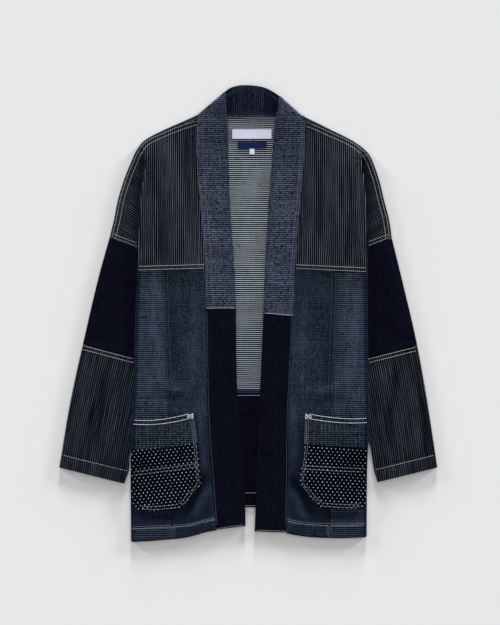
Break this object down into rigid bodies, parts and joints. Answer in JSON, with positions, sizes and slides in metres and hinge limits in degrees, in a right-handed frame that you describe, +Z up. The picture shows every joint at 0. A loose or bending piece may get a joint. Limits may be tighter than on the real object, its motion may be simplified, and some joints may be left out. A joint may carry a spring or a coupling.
{
  "type": "haori jacket",
  "caption": "Cropped open-front haori jacket of patchwork indigo cotton, laid flat on its back: straight collar band, drop shoulders, wide sleeves and patch pockets with cut-off inner corners.",
  "frame": {"origin": "on the surface the jacket lies on, under the middle of its outline", "axes": "+Z up off the surface, out of the jacket's front; +Y towards the collar; the wearer's right side at -X"},
  "size_m": [0.6611, 0.7974, 0.0111],
  "materials": {
    "pinstripe_cloth": "matte charcoal cotton with fine stripes along it",
    "ribbed_cloth": "matte indigo cotton with a fine line woven across it",
    "navy_cloth": "matte dark navy cotton",
    "dashed_cloth": "matte charcoal cotton with broken stripes along it",
    "dotted_cloth": "near-black cotton with small pale dots in staggered rows",
    "label": "smooth pale woven tape",
    "label_navy": "smooth navy woven tape"
  },
  "bodies": {
    "root": {"back_upper": "ribbed_cloth", "back_lower": "navy_cloth", "yoke_right": "pinstripe_cloth", "yoke_left": "pinstripe_cloth", "front_mid_right": "ribbed_cloth", "front_mid_left": "ribbed_cloth", "front_side_right": "ribbed_cloth", "front_side_left": "ribbed_cloth", "band_upper_right": "ribbed_cloth", "band_upper_left": "ribbed_cloth", "band_lower_right": "navy_cloth", "band_lower_left": "navy_cloth", "neck_band": "ribbed_cloth", "sleeve_upper_right": "navy_cloth", "sleeve_upper_left": "navy_cloth", "sleeve_lower_right": "dashed_cloth", "sleeve_lower_left": "dashed_cloth", "pocket_top_right": "ribbed_cloth", "pocket_top_left": "ribbed_cloth", "pocket_lower_right": "dotted_cloth", "pocket_lower_left": "dotted_cloth", "label_main": "label", "label_small": "label_navy", "size_tab": "label"}
  },
  "joints": []
}
